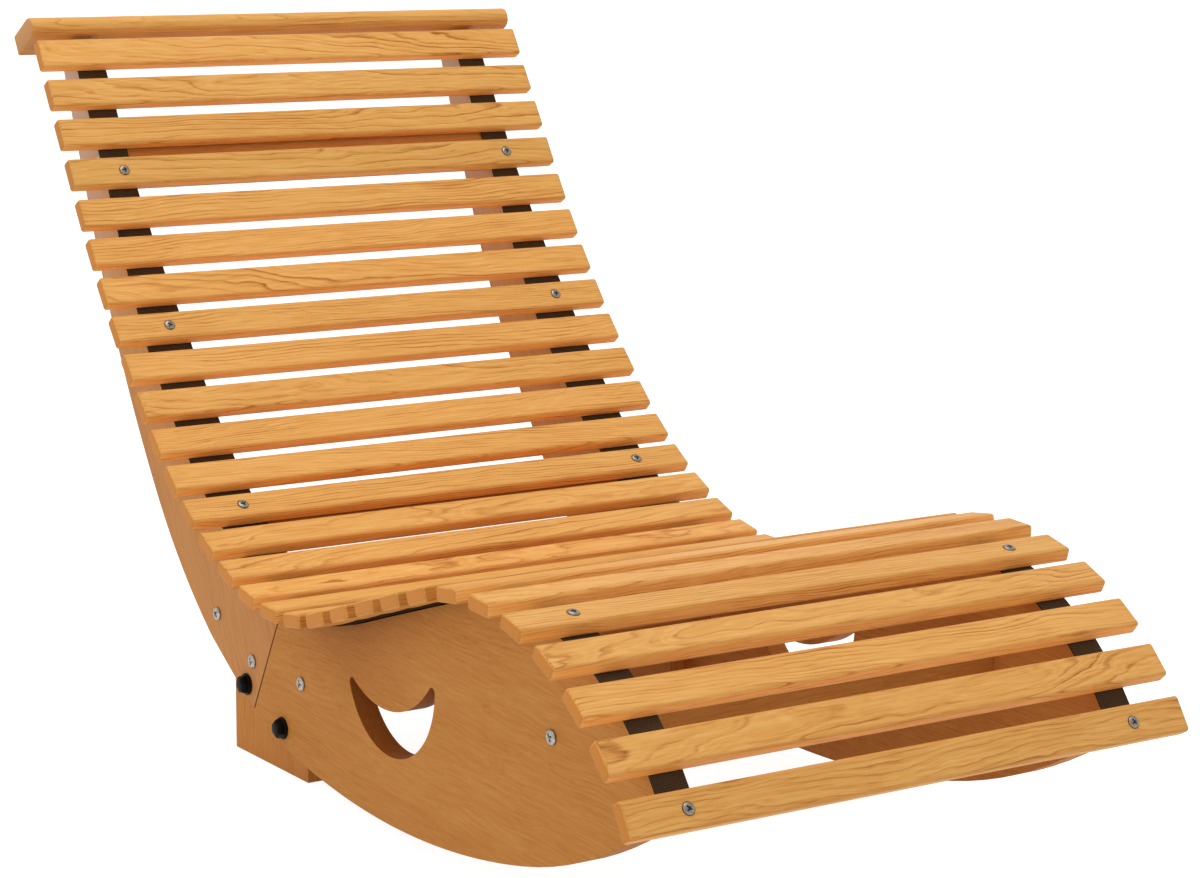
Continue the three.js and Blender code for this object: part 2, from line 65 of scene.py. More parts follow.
class Tree:
    """The node tree of a material or a world, with short ways to add nodes."""

    def __init__(self, owner):
        owner.use_nodes = True
        self.owner = owner
        self.tree = owner.node_tree
        self.tree.nodes.clear()

    def add(self, kind, inputs=(), **settings):
        node = self.tree.nodes.new("ShaderNode" + kind)
        for key, value in settings.items():
            setattr(node, key, value)
        for key, value in dict(inputs).items():
            self.put(node.inputs[key], value)
        return node

    def put(self, socket, value):
        if isinstance(value, bpy.types.NodeSocket):
            self.tree.links.new(value, socket)
        else:
            socket.default_value = value

    def math(self, operation, *values):
        node = self.add("Math", operation=operation)
        for socket, value in zip(node.inputs, values):
            self.put(socket, value)
        return node.outputs[0]

    def vector(self, operation, *values):
        node = self.add("VectorMath", operation=operation)
        for socket, value in zip(node.inputs, values):
            self.put(socket, value)
        return node.outputs["Vector"]

    def parts(self, vector):
        outputs = self.add("SeparateXYZ", {"Vector": vector}).outputs
        return outputs["X"], outputs["Y"], outputs["Z"]

    def texture(self, vector, scale, detail, roughness=0.5):
        """A noise texture of a vector in metres, with one scale for each axis."""
        return self.add("TexNoise", {
            "Vector": self.vector("MULTIPLY", vector, scale), "Scale": 1.0,
            "Detail": detail, "Roughness": roughness})

    def noise(self, vector, scale, detail=2.0, roughness=0.5):
        """Noise from -0.5 to 0.5."""
        node = self.texture(vector, scale, detail, roughness)
        return self.math("SUBTRACT", node.outputs["Fac"], 0.5)

    def drift(self, vector, scale, reach):
        """A vector moved across the grain by noise, up to about a third of the reach."""
        node = self.texture(vector, scale, detail=2.0)
        shift = self.vector("SUBTRACT", node.outputs["Color"], (0.5, 0.5, 0.5))
        shift = self.vector("MULTIPLY", shift, (0.0, reach, reach))
        return self.vector("ADD", vector, shift)

    def ramp(self, value, stops, interpolation="LINEAR"):
        node = self.add("ValToRGB", {"Fac": value})
        node.color_ramp.interpolation = interpolation
        elements = node.color_ramp.elements
        while len(elements) < len(stops):
            elements.new(0.5)
        for element, (position, colour) in zip(elements, stops):
            element.position = position
            element.color = colour
        return node.outputs["Color"]

    def range(self, value, low, high, to_low=0.0, to_high=1.0, smooth=False):
        node = self.add("MapRange", {
            "Value": value, "From Min": low, "From Max": high,
            "To Min": to_low, "To Max": to_high},
            interpolation_type="SMOOTHSTEP" if smooth else "LINEAR")
        return node.outputs["Result"]

    def mix(self, factor, a, b, blend="MIX"):
        node = self.add("Mix", data_type="RGBA", blend_type=blend)
        for socket, value in zip((node.inputs[0], node.inputs[6], node.inputs[7]), (factor, a, b)):
            self.put(socket, value)
        return node.outputs[2]

    def attribute(self, name, output="Fac"):
        return self.add("Attribute", attribute_name=name).outputs[output]

    def seen(self):
        """1 for what the camera, a gloss or a clear piece sees, and 0 for the light it gives."""
        path = self.add("LightPath").outputs
        either = self.math("MAXIMUM", path["Is Camera Ray"], path["Is Glossy Ray"])
        return self.math("MAXIMUM", either, path["Is Transmission Ray"])

    def finish(self, inputs, bump, bump_distance, bump_strength):
        """Ends a material with a principled shader over a bumpy surface."""
        shader = self.add("BsdfPrincipled", inputs)
        node = self.add("Bump", {
            "Strength": bump_strength, "Distance": bump_distance, "Height": bump})
        self.put(shader.inputs["Normal"], node.outputs["Normal"])
        self.end("OutputMaterial", shader)
        return self.owner

    def end(self, kind, shader):
        self.put(self.add(kind).inputs["Surface"], shader.outputs[0])


def material_tree(name):
    return Tree(bpy.data.materials.new(name))


def srgb(red, green, blue):
    """A colour written as 0 to 255, as a linear colour with alpha."""
    def linear(c):
        c /= 255
        return c / 12.92 if c <= 0.04045 else ((c + 0.055) / 1.055) ** 2.4
    return (linear(red), linear(green), linear(blue), 1.0)


def grey(level):
    return (level, level, level, 1.0)


# Wood

# Noise scales per metre along the grain, across it and into the log
CLOUD_SCALE = (3.2, 22.0, 22.0)
SLOW_WAVE_SCALE = (4.2, 14.0, 14.0)
QUICK_WAVE_SCALE = (19.0, 60.0, 60.0)
RING_FADE_SCALE = (7.0, 40.0, 40.0)
FINE_FADE_SCALE = (11.0, 55.0, 55.0)
FIBRE_SCALE = (38.0, 1250.0, 1250.0)
DASH_SCALE = (17.0, 430.0, 430.0)
PORE_SCALE = (120.0, 2100.0, 2100.0)

# How far the quick waves bend the grain, as a share of the slow ones
QUICK_WAVE_SHARE = 0.22
# How dark the wood of one ring is, from its inside to its outside
RING_DARKNESS = ((0.0, 0.04), (0.45, 0.12), (0.72, 0.50), (0.85, 1.0), (0.94, 0.50), (1.0, 0.04))
FINE_LINES_PER_RING = 2.63
# How dark plain wood and its end grain are, from the pale colour to the dark one
PLAIN_DARKNESS, END_DARKNESS = 0.24, 0.50
MID_DARKNESS = 0.42

PALING_COLOUR = srgb(226, 205, 190)
SEAM_DIRT = srgb(52, 24, 9)
# Tints of the painted light on narrow faces, of end grain and of the boards' painted shadow under
# the seat
FILL_LIGHT_TINT = (1.2, 1.16, 1.14, 1)
END_TINT = (0.95, 0.78, 0.52, 1)
SEAT_SHADOW_TINT = (0.70, 0.57, 0.50, 1)
# Half the width of the seam's line, where it is darkest and where it ends
SEAM_CORE, SEAM_EDGE = 0.5 * MM, 1.3 * MM


def ring_lines(t, grain, phase):
    """The dark lines of the rings, each as strong as its year, fading here and there."""
    stops = [(place, grey(level)) for place, level in RING_DARKNESS]
    ring = t.ramp(t.math("FRACT", phase), stops, "EASE")
    number = t.math("FLOOR", phase)
    year = t.add("TexWhiteNoise", {"W": number}, noise_dimensions="1D").outputs["Value"]
    year = t.range(year, 0.0, 1.0, 0.30, 1.25)
    fade = t.range(t.noise(grain, RING_FADE_SCALE), -0.25, 0.25, 0.25, 1.35)
    return t.math("MULTIPLY", t.math("MULTIPLY", ring, year), fade)


def fine_lines(t, grain, phase):
    """Finer lines between the rings."""
    lines = t.math("SINE", t.math("MULTIPLY", phase, 2 * math.pi * FINE_LINES_PER_RING))
    fade = t.range(t.noise(grain, FINE_FADE_SCALE, detail=1.0), -0.2, 0.2, 0.1, 1.0)
    return t.math("MULTIPLY", lines, fade)


def with_seat_shadow(t, colour, y, z, reach):
    """A colour with the seat's shadow painted in: darker about a line across the seat, at this
    place in the side view.
    """
    _, place_y, place_z = t.parts(t.add("TexCoord").outputs["Object"])
    aside = t.math("POWER", t.math("SUBTRACT", place_y, y), 2.0)
    above = t.math("POWER", t.math("SUBTRACT", place_z, z), 2.0)
    apart = t.math("SQRT", t.math("ADD", aside, above))
    return t.mix(
        t.range(apart, 0.0, reach, 0.9, 0.0, smooth=True), colour, SEAT_SHADOW_TINT, "MULTIPLY")


def wood(name, pale, mid, dark, spacing, warp, ring_share, fine_share, fibre_share, dash_share,
         pore_share, cloud_share, shade_tint, roughness, specular, seat_shadow=None):
    """Stained wood cut from a log whose rings run round the first axis of the grain."""
    t = material_tree(name)
    grain = t.attribute("grain", "Vector")
    tone = t.attribute("tone")
    cloud = t.noise(grain, CLOUD_SCALE)
    # Slow and quick waves bend the rings and the fibres alike
    grain = t.drift(grain, SLOW_WAVE_SCALE, warp)
    grain = t.drift(grain, QUICK_WAVE_SCALE, warp * QUICK_WAVE_SHARE)
    _, across, deep = t.parts(grain)
    radius = t.math("SQRT", t.math(
        "ADD", t.math("POWER", across, 2.0), t.math("POWER", deep, 2.0)))
    phase = t.math("DIVIDE", radius, spacing)
    ring = ring_lines(t, grain, phase)
    fine = fine_lines(t, grain, phase)
    fibre = t.noise(grain, FIBRE_SCALE, detail=3.0, roughness=0.6)
    dash = t.noise(grain, DASH_SCALE)
    pore = t.range(t.noise(grain, PORE_SCALE, detail=1.0), 0.12, 0.26)
    depth = PLAIN_DARKNESS
    for layer, share in ((ring, ring_share), (fine, fine_share), (fibre, fibre_share),
                         (dash, dash_share), (cloud, cloud_share), (pore, pore_share)):
        depth = t.math("MULTIPLY_ADD", layer, share, depth)
    # End grain is nearly plain
    end = t.attribute("end")
    plain = t.math("MULTIPLY_ADD", fibre, 0.25, END_DARKNESS)
    depth = t.math("ADD", depth, t.math("MULTIPLY", end, t.math("SUBTRACT", plain, depth)))
    colour = t.ramp(depth, [(0.0, pale), (MID_DARKNESS, mid), (1.0, dark)])
    colour = t.add("HueSaturation", {
        "Hue": t.range(tone, 0.0, 1.0, 0.502, 0.498), "Saturation": 1.0,
        "Value": t.range(tone, 0.0, 1.0, 0.90, 1.05), "Color": colour}).outputs["Color"]
    # The highest wood is paler and greyer
    colour = t.mix(t.attribute("faded"), colour, PALING_COLOUR)
    # Painted shade darkens the narrow faces that lie in shade, painted light brightens the other
    # narrow faces, and the stain lies deeper on worn edges and end grain
    colour = t.mix(t.attribute("side"), colour, shade_tint, "MULTIPLY")
    colour = t.mix(t.attribute("fill_lit"), colour, FILL_LIGHT_TINT, "MULTIPLY")
    colour = t.mix(end, colour, END_TINT, "MULTIPLY")
    rub = t.math("MULTIPLY", t.attribute("edge"), t.range(cloud, -0.3, 0.3, 0.1, 0.45))
    colour = t.mix(rub, colour, t.mix(0.5, colour, dark))
    # Painted shadow of the seat, darker under the slats
    if seat_shadow:
        colour = with_seat_shadow(t, colour, *seat_shadow)
    # A dark line stays in the seam between two boards
    seam = t.math("ABSOLUTE", t.attribute("seam"))
    seam = t.range(seam, SEAM_CORE, SEAM_EDGE, 0.95, 0.0, smooth=True)
    colour = t.mix(seam, colour, SEAM_DIRT)
    shine = t.math("MULTIPLY_ADD", fibre, 0.10, roughness)
    shine = t.math("MULTIPLY_ADD", ring, -0.05, shine)
    height = t.math("MULTIPLY_ADD", fibre, 0.8, t.math("MULTIPLY", ring, 0.35))
    height = t.math("MULTIPLY_ADD", pore, -0.5, height)
    return t.finish(
        {"Base Color": colour, "Roughness": shine, "Specular IOR Level": specular},
        height, bump_distance=0.35 * MM, bump_strength=0.35)


# Other materials

YARN = 1.7 * MM
# The painted shade on the strap's cut edges and back
STRAP_SHADE = srgb(40, 20, 8)
TARNISH = srgb(110, 98, 84)
# The darker colour inside the screw recesses
RECESS_DARK = srgb(38, 29, 23)


def webbing():
    """Near-black plain weave, read along and across the strap."""
    t = material_tree("webbing")
    weave = t.attribute("weave", "Vector")
    along, across, deep = t.parts(weave)
    u, v = (t.math("SINE", t.math("MULTIPLY", t.math("DIVIDE", way, YARN), math.pi))
            for way in (along, across))
    warp = t.math("ABSOLUTE", v)
    weft = t.math("ABSOLUTE", u)
    over = t.range(t.math("MULTIPLY", u, v), -0.3, 0.3, smooth=True)
    height = t.add("Mix", {0: over, 2: warp, 3: weft}, data_type="FLOAT").outputs[0]
    fluff = t.noise(weave, (900.0,) * 3, detail=3.0)
    worn = t.noise(weave, (20.0, 30.0, 30.0))
    lit = t.math("MULTIPLY_ADD", fluff, 0.35, t.math("MULTIPLY", height, 0.75))
    lit = t.math("MULTIPLY_ADD", worn, 0.3, lit)
    colour = t.ramp(lit, [
        (0.0, srgb(38, 27, 17)), (0.6, srgb(84, 66, 46)), (1.0, srgb(112, 91, 66))])
    # Painted shade: the cut edges and the back are darkened to dark brown
    back = t.range(deep, 0.1 * MM, 0.4 * MM, 0.0, 0.8)
    colour = t.mix(back, colour, STRAP_SHADE)
    return t.finish(
        {"Base Color": colour, "Roughness": t.math("MULTIPLY_ADD", fluff, 0.12, 0.86),
         "Specular IOR Level": 0.08},
        t.math("MULTIPLY_ADD", fluff, 0.3, height), bump_distance=0.5 * MM, bump_strength=0.7)


def plastic():
    """Black moulded plastic with fine texture and scuffs."""
    t = material_tree("black_plastic")
    place = t.add("TexCoord").outputs["Object"]
    fine = t.noise(place, (2600.0,) * 3)
    scuff = t.noise(place, (260.0, 420.0, 420.0), detail=4.0, roughness=0.65)
    colour = t.ramp(t.math("ADD", scuff, 0.5), [
        (0.3, srgb(8, 6, 4)), (0.6, srgb(14, 10, 7)), (0.8, srgb(30, 24, 18))])
    return t.finish(
        {"Base Color": colour, "Roughness": t.math("MULTIPLY_ADD", scuff, 0.35, 0.40),
         "Specular IOR Level": 0.05},
        t.math("MULTIPLY_ADD", scuff, 0.3, fine), bump_distance=0.12 * MM, bump_strength=0.4)


def plated_steel():
    """Zinc-plated steel, turned and slightly tarnished, darker in its recess."""
    t = material_tree("plated_steel")
    place = t.add("TexCoord").outputs["Object"]
    turn = t.noise(place, (1500.0,) * 3)
    stain = t.noise(place, (330.0,) * 3, detail=3.0)
    colour = t.ramp(t.math("ADD", stain, 0.5), [
        (0.25, srgb(120, 114, 105)), (0.55, srgb(170, 166, 159)), (0.8, srgb(196, 194, 190))])
    colour = t.mix(t.attribute("tarnish"), colour, TARNISH)
    recess_darkness = t.attribute("recess")
    colour = t.mix(recess_darkness, colour, RECESS_DARK)
    return t.finish(
        {"Base Color": colour, "Metallic": t.range(recess_darkness, 0.0, 1.0, 1.0, 0.2),
         "Roughness": t.math("MULTIPLY_ADD", stain, 0.3, 0.30)},
        turn, bump_distance=0.08 * MM, bump_strength=0.35)


SLAT_WOOD = wood(
    "golden_wood", pale=srgb(246, 190, 110), mid=srgb(231, 165, 84), dark=srgb(170, 98, 36),
    spacing=2.6 * MM, warp=19 * MM, ring_share=0.60, fine_share=0.09, fibre_share=0.45,
    dash_share=0.80, pore_share=0.12, cloud_share=0.30, shade_tint=(0.72, 0.58, 0.42, 1),
    roughness=0.50, specular=0.15)
# The painted shadow of the seat lies on the rocker boards, under the seat
BOARD_WOOD = wood(
    "brown_wood", pale=srgb(224, 156, 83), mid=srgb(211, 138, 67), dark=srgb(170, 99, 43),
    spacing=4.2 * MM, warp=26 * MM, ring_share=0.14, fine_share=0.04, fibre_share=0.80,
    dash_share=0.85, pore_share=0.30, cloud_share=0.50, shade_tint=(0.56, 0.42, 0.32, 1),
    roughness=0.58, specular=0.07, seat_shadow=(-60 * MM, 235 * MM, 170 * MM))
WEBBING = webbing()
PLASTIC = plastic()
STEEL = plated_steel()


# Meshes

def set_numbers(mesh, name, values, kind="FLOAT"):
    """Writes a number or a vector for each point of a mesh."""
    data = mesh.attributes.new(name, kind, "POINT").data
    field = "vector" if kind == "FLOAT_VECTOR" else "value"
    data.foreach_set(field, np.asarray(values, np.float32).ravel())


def points_of(mesh):
    co = np.empty(len(mesh.vertices) * 3, np.float32)
    mesh.vertices.foreach_get("co", co)
    return co.reshape(-1, 3).astype(float)


def object_from(name, data):
    piece = bpy.data.objects.new(name, data)
    bpy.context.scene.collection.objects.link(piece)
    return piece


def mesh_from(name, verts, faces):
    mesh = bpy.data.meshes.new(name)
    mesh.from_pydata([tuple(v) for v in verts], [], faces)
    mesh.update()
    return mesh


@contextlib.contextmanager
def edited(mesh):
    """Opens a mesh for editing, and writes it back at the end."""
    work = bmesh.new()
    work.from_mesh(mesh)
    yield work
    work.to_mesh(mesh)
    work.free()
    mesh.update()


def fix_normals(mesh):
    """Welds double points, and turns all faces outward."""
    with edited(mesh) as work:
        bmesh.ops.remove_doubles(work, verts=work.verts, dist=0.01 * MM)
        bmesh.ops.recalc_face_normals(work, faces=work.faces)


def apply_modifiers(piece):
    graph = bpy.context.evaluated_depsgraph_get()
    made = bpy.data.meshes.new_from_object(piece.evaluated_get(graph), depsgraph=graph)
    old = piece.data
    piece.modifiers.clear()
    piece.data = made
    bpy.data.meshes.remove(old)
    made.name = piece.name


def smooth(piece, angle):
    """Smooth shading with flat faces kept flat, and creases past the angle kept sharp."""
    mesh = piece.data
    mesh.polygons.foreach_set("use_smooth", [True] * len(mesh.polygons))
    mesh.set_sharp_from_angle(angle=math.radians(angle))
    weighted = piece.modifiers.new("weighted", "WEIGHTED_NORMAL")
    weighted.keep_sharp = True
    weighted.weight = 60
    apply_modifiers(piece)


def cut_with(piece, cutters):
    """Cuts the cutters' shapes out of a piece, and removes the cutters."""
    for cutter in cutters:
        boolean = piece.modifiers.new("cut", "BOOLEAN")
        boolean.operation = "DIFFERENCE"
        boolean.solver = "EXACT"
        boolean.object = cutter
    apply_modifiers(piece)
    for cutter in cutters:
        bpy.data.objects.remove(cutter)


def add_material(piece, material):
    piece.data.materials.clear()
    piece.data.materials.append(material)


def settle(piece, slot, *nodes):
    """Ends a piece: it rides on the one body and stands for its nodes. The slot is not used."""
    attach(piece, "root")
    if nodes:
        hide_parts(*nodes)


def axes_matrix(origin, x, y, z):
    """The matrix of something whose own axes point along x, y and z from the origin."""
    matrix = Matrix((x, y, z)).transposed().to_4x4()
    matrix.translation = origin
    return matrix


def placed(piece, origin, x, y, z, turn=0.0):
    """Moves a piece so that its own axes point along x, y and z, then turns it about z."""
    piece.matrix_world = axes_matrix(origin, x, y, z) @ Matrix.Rotation(turn, 4, "Z")
    return piece


def put_on_side(piece, sign, origin, turn):
    """Moves a piece to one side of the lounger, with its own Z pointing out."""
    out = Vector((sign, 0, 0))
    placed(piece, origin, Z, out.cross(Z), out, turn)


def loft(loops, close_ends=True):
    """Vertices and faces through closed loops with the same number of points."""
    count = len(loops[0])
    verts = [p for loop in loops for p in loop]
    faces = []
    for k in range(len(loops) - 1):
        a, b = k * count, (k + 1) * count
        faces += [(a + i, a + (i + 1) % count, b + (i + 1) % count, b + i) for i in range(count)]
    if close_ends:
        faces.append(tuple(reversed(range(count))))
        faces.append(tuple(range((len(loops) - 1) * count, len(loops) * count)))
    return verts, faces


def turned(name, profile, sides, spread=None):
    """A closed solid turned about +Z from (radius, height) points, first and last on the axis."""
    verts, faces = [], []
    rings = []
    for radius, height in profile:
        first = len(verts)
        if radius == 0:
            rings.append([first])
            verts.append((0, 0, height))
            continue
        rings.append(range(first, first + sides))
        for i in range(sides):
            angle = 2 * math.pi * i / sides
            r = radius * spread(angle, height) if spread else radius
            verts.append((r * math.cos(angle), r * math.sin(angle), height))
    for low, high in zip(rings, rings[1:]):
        for i in range(sides):
            j = (i + 1) % sides
            if len(low) == 1:
                faces.append((low[0], high[j], high[i]))
            elif len(high) == 1:
                faces.append((low[i], low[j], high[0]))
            else:
                faces.append((low[i], low[j], high[j], high[i]))
    mesh = mesh_from(name, verts, faces)
    fix_normals(mesh)
    return mesh


# Where each slat lies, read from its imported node

# The points this near an end show how the slat lies
END_REACH = 5 * MM


def slat_frame(number):
    """Middle of a slat, its direction towards the foot and its upward normal, in the side view."""
    co = points_of(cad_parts[f"slat_{number:02d}"].data)
    end = co[np.abs(co[:, 0]) > SLAT_LENGTH / 2 - END_REACH][:, 1:]
    middle = end.mean(0)
    _, _, axes = np.linalg.svd(end - middle)
    reach = (end - middle) @ axes.T
    middle = middle + ((reach.min(0) + reach.max(0)) / 2) @ axes
    normal = axes[1]
    if normal[1] < 0:
        normal = -normal
    down = np.array([-normal[1], normal[0]])
    return (Vector((0, *middle)), Vector((0, *down)), Vector((0, *normal)))


SLATS = {number: slat_frame(number) for number in range(1, SLAT_COUNT + 1)}


# How the wood is grown and worn

# What each share is where a piece says nothing of it
PLAIN_SHARES = {"edge": 0.0, "side": 0.0, "end": 0.0, "faded": 0.0, "fill_lit": 0.0, "seam": 1.0}


def grow(mesh, middle, along, across, deep, pith, tilt, tone, **shares):
    """Writes where each point of a mesh lay in its log, how dark the piece is, and the shares
    of worn edge, painted shade on narrow sides, end grain, paler wood and painted light on
    narrow faces at the point, with its distance from a seam."""
    offset = points_of(mesh) - np.array(middle)
    u = offset @ np.array(along)
    v = offset @ np.array(across) - pith[0] + tilt[0] * u
    w = offset @ np.array(deep) - pith[1] + tilt[1] * u
    start = rng.uniform(1.0, 40.0)
    set_numbers(mesh, "grain", np.stack([u + start, v, w], 1), "FLOAT_VECTOR")
    set_numbers(mesh, "tone", np.full(len(u), tone))
    for name, plain in PLAIN_SHARES.items():
        set_numbers(mesh, name, shares.get(name, np.full(len(u), plain)))


def log_place():
    """Where the pith of the log lies, as seen from a slat, and how far it leans along it."""
    angle = math.radians(rng.choice((rng.uniform(52, 88), rng.uniform(20, 60))))
    distance = rng.uniform(38, 95) * MM
    pith = (distance * math.cos(angle) * rng.choice((-1, 1)), -distance * math.sin(angle))
    tilt = (rng.uniform(-0.05, 0.05), rng.uniform(-0.05, 0.05))
    return pith, tilt


def rising(value, start, reach):
    """A share that rises from 0 at the start to 1 past the reach."""
    return np.clip((value - start) / reach, 0, 1)


# Slats

CORNER_STEPS, END_STEPS = 5, 4
# How far from an edge a point keeps the wear close to it
WEAR_REACH = 6 * MM
# How far the ring inside an end face lies from the rounded edge
END_RING = 1.2 * MM
# How far from a corner or an end the wear begins, and over what length it grows
CORNER_WEAR, END_WEAR, WEAR_GROWTH = SLAT_CORNER + 0.5 * MM, 3 * MM, 1.8 * MM
# Where the end faces and the narrow faces begin, and over what length they do
END_FACE, NARROW_FACE = (-0.7 * MM, 0.6 * MM), (-0.9 * MM, 0.7 * MM)

# The countersinks and holes of the slat screws, and how far the cutters stand out
SINK_DEPTH, SINK_RADIUS = 1.0 * MM, 6.1 * MM
HOLE_DEPTH, HOLE_RADIUS = 20 * MM, 2.5 * MM
CUTTER_TOP, CUTTER_SIDES = 5 * MM, 40

# The slats that nearly touch in the seat
SEAT_SLATS = range(18, 24)
# The slats that are plainly darker or lighter than their neighbours
SLAT_TONES = {2: 0.3, 3: 0.35, 4: 0.0, 16: 1.0, 20: 1.0, 30: 0.5}


def slat_section(inset):
    """A slat's outline across (towards the foot) and up, shrunk by the inset."""
    half_w, half_t = SLAT_WIDTH / 2 - inset, SLAT_THICKNESS / 2 - inset
    radius = max(SLAT_CORNER - inset, 0.15 * MM)
    points = []
    for sx, sy, start in ((1, -1, -90), (1, 1, 0), (-1, 1, 90), (-1, -1, 180)):
        cx, cy = sx * (half_w - radius), sy * (half_t - radius)
        for n in range(CORNER_STEPS + 1):
            a = math.radians(start + 90 * n / CORNER_STEPS)
            points.append((cx + radius * math.cos(a), cy + radius * math.sin(a)))
        # More points past each corner keep the wear close to the edge
        if sx == sy:
            points.append((sx * (half_w - WEAR_REACH), sy * half_t))
            points.append((-sx * (half_w - WEAR_REACH), sy * half_t))
        else:
            points.append((sx * half_w, 0))
    return points


def slat_mesh(name, number):
    """A slat with rounded corners and ends."""
    middle, down, normal = SLATS[number]

    def outline(x, inset):
        return [middle + X * x + down * a + normal * b for a, b in slat_section(inset)]

    # Where the outlines stand, from the left end to the middle, and how far they shrink
    stations = []
    for n in range(END_STEPS + 1):
        a = math.pi / 2 * n / END_STEPS
        stations.append((
            -SLAT_LENGTH / 2 + SLAT_END_RADIUS * (1 - math.cos(a)),
            SLAT_END_RADIUS * (1 - math.sin(a))))
    stations += [(-SLAT_LENGTH / 2 + WEAR_REACH, 0.0), (-SLAT_LENGTH / 6, 0.0)]
    stations += [(-x, inset) for x, inset in reversed(stations)]
    verts, faces = loft([outline(x, inset) for x, inset in stations], close_ends=False)
    # The end faces, each with an inner ring
    count = len(verts) // len(stations)
    for first, sign in ((0, -1), (len(verts) - count, 1)):
        inner = len(verts)
        verts += outline(sign * SLAT_LENGTH / 2, SLAT_END_RADIUS + END_RING)
        end = []
        for i in range(count):
            j = (i + 1) % count
            end.append((first + i, inner + i, inner + j, first + j))
        end.append(tuple(reversed(range(inner, inner + count))))
        faces += end if sign < 0 else [tuple(reversed(face)) for face in end]
    mesh = mesh_from(name, verts, faces)
    fix_normals(mesh)
    return mesh


def slat_shares(mesh, number):
    """How far each point of a slat belongs to its worn edges, to the painted light of its narrow
    sides or their painted shade in the seat, and to its end grain.
    """
    middle, down, normal = SLATS[number]
    offset = points_of(mesh) - np.array(middle)
    across = np.abs(offset @ np.array(down)) - SLAT_WIDTH / 2
    up = np.abs(offset @ np.array(normal)) - SLAT_THICKNESS / 2
    x = np.abs(offset[:, 0]) - SLAT_LENGTH / 2
    a, b = rising(across, -CORNER_WEAR, WEAR_GROWTH), rising(up, -CORNER_WEAR, WEAR_GROWTH)
    worn = np.maximum(a * b, rising(x, -END_WEAR, WEAR_GROWTH) * np.maximum(a, b))
    end = rising(x, *END_FACE)
    narrow = rising(across, *NARROW_FACE) * (1 - end)
    # Painted light brightens the narrow faces, but painted shade darkens them where the slats
    # nearly touch in the seat
    return {"edge": worn, "end": end, "side" if number in SEAT_SLATS else "fill_lit": narrow}


def screw_cutters(number):
    """The shapes of a countersink and a hole over each side board."""
    middle, down, normal = SLATS[number]
    for _, sign in SIDES:
        top = middle + normal * (SLAT_THICKNESS / 2) + X * (sign * BOARD_X)
        for radius, depth in ((SINK_RADIUS, SINK_DEPTH), (HOLE_RADIUS, HOLE_DEPTH)):
            mesh = turned(
                "cutter", [(0, -depth), (radius, -depth), (radius, CUTTER_TOP), (0, CUTTER_TOP)],
                CUTTER_SIDES)
            yield placed(object_from("cutter", mesh), top, X, -down, normal)


for number, (middle, down, normal) in SLATS.items():
    name = f"slat_{number:02d}_wood"
    slat = object_from(name, slat_mesh(name, number))
    if number in SCREWED_SLATS:
        cutters = list(screw_cutters(number))
        bpy.context.view_layer.update()
        cut_with(slat, cutters)
    smooth(slat, angle=35)
    pith, tilt = log_place()
    tone = SLAT_TONES.get(number, 0.45 + 0.4 * rng.random())
    grow(slat.data, middle, X, down, normal, pith, tilt, tone, **slat_shares(slat.data, number))
    add_material(slat, SLAT_WOOD)
    settle(slat, "slat_wood", f"slat_{number:02d}")


# Boards, plates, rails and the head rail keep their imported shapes, with eased edges

# Points this near are one, faces that turn by less are one flat, and edges past this are sharp
PACKED_WELD, FLAT_TURN, SHARP_TURN = 0.02 * MM, math.radians(0.6), math.radians(30)
# The degrees by which the grain leans up from -Y
BOARD_LEAN = {"rocker_board": -3.0, "back_board": -64.0, "joint_plate": 88.0}
# The points this near the outer and inner faces don't belong to the narrow faces
NARROW_REACH = 0.1 * MM
# How far the painted shade of the narrow faces darkens the outer ones, as a share of the cut-out's
OUTER_SHADE = 0.3
# The height where the boards begin to turn paler, and how that grows over the reach
PALING_START, PALING_REACH, PALING_CURVE, PALING_MOST = 430 * MM, 260 * MM, 1.3, 0.75
# The back boards are a little paler all over
BACK_PALING = 0.08
# Where the head rail's end faces begin, and how far from its upper edge its painted shade deepens
HEAD_END = (SLAT_LENGTH / 2 - 0.6 * MM, 0.5 * MM)
SHADE_START, SHADE_REACH = 8 * MM, 14 * MM


def eased(name, node, width, segments=3):
    """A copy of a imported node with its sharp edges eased."""
    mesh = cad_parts[node].data.copy()
    mesh.name = name
    for attribute in [a.name for a in mesh.attributes if a.name.startswith("UV")]:
        mesh.attributes.remove(mesh.attributes[attribute])
    with edited(mesh) as work:
        bmesh.ops.remove_doubles(work, verts=work.verts, dist=PACKED_WELD)
        bmesh.ops.dissolve_limit(
            work, angle_limit=FLAT_TURN, verts=work.verts, edges=work.edges,
            use_dissolve_boundaries=False)
    piece = object_from(name, mesh)
    bevel = piece.modifiers.new("ease", "BEVEL")
    bevel.width = width
    bevel.segments = segments
    bevel.limit_method = "ANGLE"
    bevel.angle_limit = SHARP_TURN
    bevel.miter_outer = "MITER_ARC"
    apply_modifiers(piece)
    smooth(piece, angle=30)
    return piece


def board_shares(name, points):
    """How far each point of a board belongs to its narrow faces, with their painted shade, and to
    the paler wood, and its distance from the seam."""
    x, y, z = np.abs(points[:, 0]), points[:, 1], points[:, 2]
    out = np.array((0, math.cos(SEAM_LEAN), math.sin(SEAM_LEAN)))
    narrow = np.clip(np.minimum(x.max() - x, x - x.min()) / NARROW_REACH, 0, 1)
    # Painted shade: the walls of the cut-out are darker than the outer narrow faces
    smile = (y > SMILE_LOW[0]) & (y < SMILE_HIGH[0]) & (z > SMILE_LOW[1]) & (z < SMILE_HIGH[1])
    paling_share = PALING_MOST * rising(z, PALING_START, PALING_REACH) ** PALING_CURVE
    return {
        "seam": (points - np.array((0, SEAM_Y, SEAM_Z))) @ out,
        "side": narrow * np.where(smile, 1.0, OUTER_SHADE),
        "faded": np.maximum(paling_share, BACK_PALING if "back" in name else 0.0)}


